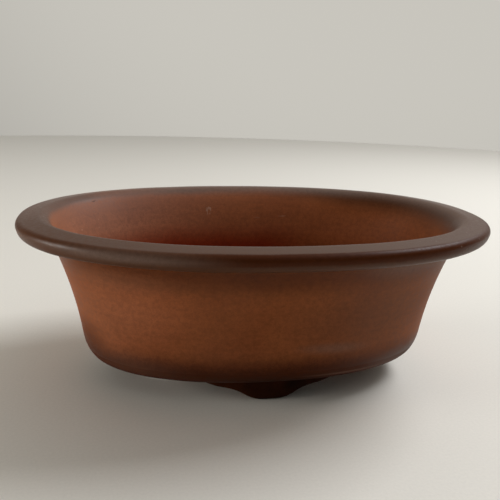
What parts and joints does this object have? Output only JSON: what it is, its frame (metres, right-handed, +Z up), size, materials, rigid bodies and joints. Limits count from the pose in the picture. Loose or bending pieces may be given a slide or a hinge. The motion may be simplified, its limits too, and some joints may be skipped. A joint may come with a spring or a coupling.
{
  "type": "bonsai pot",
  "caption": "Oval bonsai pot of unglazed clay: flared wall, heavy rolled lip, drained floor, and cloud feet that hold it clear of the table.",
  "frame": {"origin": "on the table under the middle of the pot, at the centre of the soles' plane", "axes": "+X along the pot's long side, +Y towards its back, +Z up out of its mouth"},
  "size_m": [0.26, 0.19, 0.092],
  "materials": {
    "lip_clay": "satin, smoked grey brown",
    "wall_clay": "matte, fine grit, red brown",
    "floor_clay": "matte, fine grit, darker red brown",
    "foot_clay": "matte, smoked brown"
  },
  "bodies": {
    "root": {"rim_lip": "lip_clay", "wall_front": "wall_clay", "wall_back": "wall_clay", "corner_coil": "floor_clay", "base_slab": "floor_clay", "foot_front": "foot_clay", "foot_left": "foot_clay", "foot_right": "foot_clay"}
  },
  "joints": []
}
